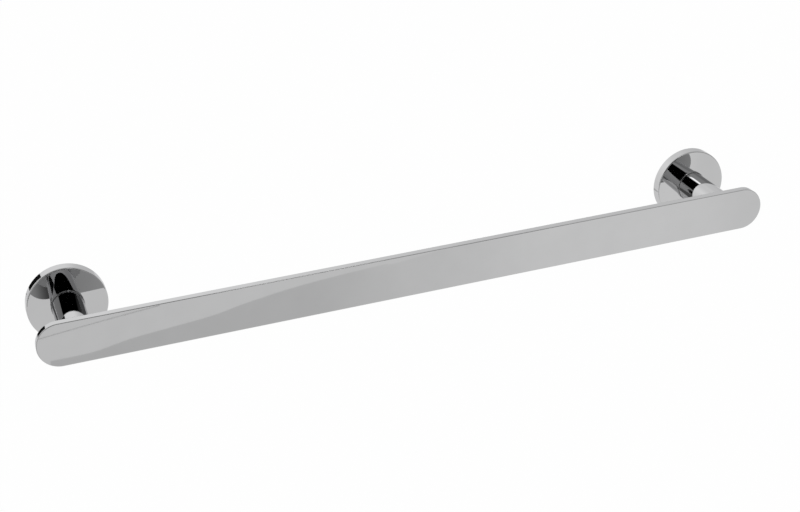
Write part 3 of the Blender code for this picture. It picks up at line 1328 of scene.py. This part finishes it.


# Painted reflections: each card puts a dark or light patch into the chrome's reflections; none lights a matte surface
# or casts a shadow.
CARDS = (
    Card("black_flag", 1.5, ((-0.84, 1.62), (0.12, 1.62)), 1.42, ((0.0, 0.0),)),
    Card("left_black_flag", 1.5, ((-1.35, 1.62), (-0.84, 1.62)), 1.12, ((0.0, 0.0),)),
    Card("right_black_flag", 1.5, ((0.12, 1.22), (0.52, 1.22)), 1.02, ((0.0, 0.0),)),
    Card("side_flag", 1.49, ((0.50, 0.62), (1.25, 0.62)), 0.97, ((0.5, 0.02), (0.62, 0.06), (0.8, 0.3), (1.25, 0.45))),
    # Painted highlight: a bright card that shows only in reflections and lights nothing.
    Card("painted_highlight_card", 1.46, ((0.14, 1.6), (0.55, 1.6)), 0.37, ((0.14, 0.9), (0.24, 3.0), (0.42, 3.0), (0.55, 0.9))),
    Card("low_left_flag", 1.18, ((-1.3, -0.25), (-0.43, -0.25)), 0.8, ((0.0, 0.17),)),
    Card(
        "low_flag",
        1.19,
        ((-0.40, -0.36), (0.06, -0.36)),
        0.14,
        ((-0.4, 0.35), (-0.325, 0.18), (-0.285, 0.07), (-0.14, 0.08), (0.0, 0.1), (0.06, 0.2)),
    ),
    Card("near_card", 0.10, ((-0.32, -0.0375), (-0.14, -0.0375)), 0.07, ((0.0, 0.88),)),
    # Painted reflections: dark cards behind the wall plane that put dark patches into the flanges and posts.
    Card("painted_dark_patch", -0.72, ((-0.66, 0.25), (-0.53, 0.25)), 0.35, ((0.0, 0.01),)),
    Card("painted_dark_strip", -0.3, ((-0.368, 0.05), (-0.33, 0.05)), 0.135, ((0.0, 0.03),)),
    Card("middle_flag", -1.0, ((0.31, 0.16), (0.60, 0.16)), 0.6, ((0.0, 0.3),)),
    Card("far_flag", -1.0, ((-1.0, 0.28), (-0.765, 0.28)), 0.66, ((0.0, 0.25),)),
    Card(
        "rear_flag",
        -1.0,
        ((-0.36, -0.36), (0.06, -0.36)),
        0.19,
        ((-0.36, 0.72), (-0.3, 0.62), (-0.22, 0.12), (-0.185, 0.12), (-0.16, 0.62), (0.06, 0.8)),
    ),
    Card("right_rear_flag", -1.0, ((0.62, -0.30), (0.92, -0.30)), 0.2, ((0.62, 0.34), (0.74, 0.48), (0.92, 0.7))),
    Card(
        "pale_card",
        1.21,
        ((-1.2, -0.30), (1.9, -0.30)),
        0.60,
        (
            (-1.2, 0.85),
            (-0.2, 0.88),
            (0.3, 0.90),
            (0.62, 0.96),
            (0.86, 0.97),
            (1.03, 0.90),
            (1.3, 0.95),
            (1.9, 0.9),
        ),
    ),
    Card(
        "grey_card",
        1.20,
        (
            (-0.20, -0.628),
            (-0.135, -0.627),
            (-0.073, -0.617),
            (0.041, -0.607),
            (0.098, -0.597),
            (0.153, -0.589),
            (0.211, -0.583),
            (0.316, -0.577),
            (0.392, -0.574),
            (0.80, -0.520),
            (1.03, -0.500),
        ),
        0.25,
        ((-0.2, 0.70), (0.18, 0.73), (0.40, 0.86), (0.62, 0.96), (0.86, 0.97), (1.03, 0.90)),
    ),
    # Painted reflection: a thin grey strip that draws the fine dark line in the bar's reflection.
    Card(
        "painted_reflection_line",
        1.19,
        ((-0.218, -0.583), (-0.134, -0.5745), (-0.045, -0.567), (-0.03, -0.5655)),
        0.0013,
        ((0.0, 0.55),),
    ),
)


@dataclass
class Studio:
    """A plain pale floor under a soft white studio, with painted reflections for the polished surfaces to show: cards,
    a room pattern in the world and a gradient on the floor.

    Attributes:
        floor_drop: how far the floor lies below the bar.
        floor_width: side of the square floor.
        floor_colour: the floor's paint.
        floor_glow: how much of the floor the camera sees as plain white.
        floor_shine: how much of it metal sees as plain white, along Y, a painted reflection that the camera and the
            light don't see.
        behind: brightness that metal sees behind the object, by the sine of the elevation.
        ahead: brightness that metal sees in front of it, by the sine of the elevation.
        turn: where one goes over into the other, along Y.
        shade: how much of the light behind is left, along X.
        cards: the cards that paint reflections.
    """

    floor_drop: float = 1.2
    floor_width: float = 16.0
    floor_colour: Colour = (0.9, 0.9, 0.9)
    floor_glow: float = 0.93
    floor_shine: Stops = ((-0.6, 0.25), (1.0, 0.95))
    behind: Stops = ((-1.0, 0.75), (-0.3, 1.0), (0.0, 1.05), (0.45, 1.15), (0.75, 0.85), (1.0, 0.66))
    ahead: Stops = ((-1.0, 0.75), (-0.3, 0.8), (0.0, 0.48), (0.3, 0.42), (0.5, 0.62), (1.0, 0.66))
    turn: Stops = ((-0.35, 0.0), (0.15, 1.0))
    shade: Stops = ((-0.1, 1.0), (0.1, 1.0), (0.4, 0.8))
    cards: tuple[Card, ...] = CARDS

    def floor(self) -> bpy.types.Object:
        """Lays the floor.

        Returns:
            The floor, which is part of the stage.
        """
        bpy.ops.mesh.primitive_plane_add(size=self.floor_width, location=(0, 0, -self.floor_drop))
        floor = bpy.context.object
        floor.name = "studio_floor"
        paint = bpy.data.materials.new("pale_floor")
        paint.use_nodes = True
        board = StudioBoard(paint.node_tree)
        shader = paint.node_tree.nodes["Principled BSDF"]
        shader.inputs["Roughness"].default_value = 0.9
        shader.inputs["Base Color"].default_value = (*self.floor_colour, 1)
        white = board.add("ShaderNodeEmission")
        path = board.add("ShaderNodeLightPath")
        seen = board.add("ShaderNodeMath", operation="MULTIPLY")
        seen.inputs[1].default_value = self.floor_glow
        board.join(path.outputs["Is Camera Ray"], seen.inputs[0])
        # Painted reflection: glossy rays see the floor whiter towards the wall than the camera does.
        place = board.axis(board.add("ShaderNodeTexCoord").outputs["Object"], "Y")
        shine = board.ramp(place, self.floor_shine[0][0], self.floor_shine[-1][0], self.floor_shine)
        share = board.blend(path.outputs["Is Glossy Ray"], seen.outputs["Value"], shine)
        mix = board.add("ShaderNodeMixShader")
        board.join(share, mix.inputs["Fac"])
        board.join(shader.outputs["BSDF"], mix.inputs[1])
        board.join(white.outputs["Emission"], mix.inputs[2])
        board.join(mix.outputs["Shader"], paint.node_tree.nodes["Material Output"].inputs["Surface"])
        floor.data.materials.append(paint)
        return floor

    def surroundings(self) -> bpy.types.World:
        """Makes the world.

        Returns:
            The world: white to the camera and on the floor, and a painted reflection of a soft room to the polished
                surfaces, which lights nothing else.
        """
        world = bpy.data.worlds.new("white_studio")
        bpy.context.scene.world = world
        world.use_nodes = True
        board = StudioBoard(world.node_tree)
        aim = board.add("ShaderNodeTexCoord").outputs["Generated"]
        rise = board.axis(aim, "Z")
        shade = board.ramp(board.axis(aim, "X"), self.shade[0][0], self.shade[-1][0], self.shade)
        behind = board.times(board.ramp(rise, -1, 1, self.behind), shade)
        ahead = board.ramp(rise, -1, 1, self.ahead)
        turn = board.ramp(board.axis(aim, "Y"), self.turn[0][0], self.turn[-1][0], self.turn)
        room = board.blend(turn, ahead, behind)
        white = board.add("ShaderNodeValue")
        white.outputs["Value"].default_value = 1.0
        path = board.add("ShaderNodeLightPath")
        # Painted reflection: only glossy rays see the room's tones; the camera and diffuse light see plain white.
        strength = board.blend(path.outputs["Is Glossy Ray"], white.outputs["Value"], room)
        board.join(strength, world.node_tree.nodes["Background"].inputs["Strength"])
        world.node_tree.nodes["Background"].inputs["Color"].default_value = (1, 1, 1, 1)
        return world

    def build(self) -> None:
        """Builds the studio."""
        self.floor()
        self.surroundings()
        for card in self.cards:
            card.build()


@dataclass(frozen=True)
class PhotoCamera:
    """The camera at the photograph's angle.

    Attributes:
        azimuth: degrees round the object; 0 looks straight at the wall.
        elevation: degrees above the horizon.
        roll: degrees that the camera is turned about its own axis.
        distance: distance from the point that it looks at.
        target: the point that it looks at.
        focal_pixels: focal length in pixels of the photograph's frame.
        frame_width: width of that frame in pixels.
        sensor: width of the sensor, in millimetres.
    """

    azimuth: float = -17.961
    elevation: float = 25.966
    roll: float = -2.970
    distance: float = 1.0282
    target: tuple[float, float, float] = (0.00295, 0.0, -0.01526)
    focal_pixels: float = 1459.36
    frame_width: float = 800.0
    sensor: float = 36.0

    def build(self) -> bpy.types.Object:
        """Makes the scene's camera.

        Returns:
            The camera.
        """
        turn = math.radians(self.azimuth)
        rise = math.radians(self.elevation)
        back = Vector((
            math.sin(turn) * math.cos(rise),
            -math.cos(turn) * math.cos(rise),
            math.sin(rise),
        ))
        data = bpy.data.cameras.new("photo_camera")
        data.sensor_fit = "HORIZONTAL"
        data.sensor_width = self.sensor
        data.lens = self.focal_pixels / self.frame_width * self.sensor
        camera = bpy.data.objects.new("photo_camera", data)
        bpy.context.scene.collection.objects.link(camera)
        aim = (-back).to_track_quat("-Z", "Y").to_matrix().to_4x4()
        tilt = Matrix.Rotation(math.radians(self.roll), 4, "Z")
        camera.matrix_world = Matrix.Translation(Vector(self.target) + back * self.distance) @ aim @ tilt
        bpy.context.scene.camera = camera
        return camera


def main() -> None:
    """Builds the dressed fitting, its studio and its camera."""
    logging.basicConfig(level=logging.INFO, format="%(name)s: %(message)s")
    bpy.context.scene.view_settings.view_transform = "Standard"
    finishes = Finishes()
    FlatBar().build(finishes)
    for side in Side:
        Post().build(side, finishes)
        BarStud().build(side, finishes)
        WallFlange().build(side, finishes)
        FlangeScrew().build(side, finishes)
        LockWasher().build(side, finishes)
        WallBracket().build(side, finishes)
        GrubScrew().build(side, finishes)
    Studio().build()
    PhotoCamera().build()


if __name__ == "__main__":
    main()
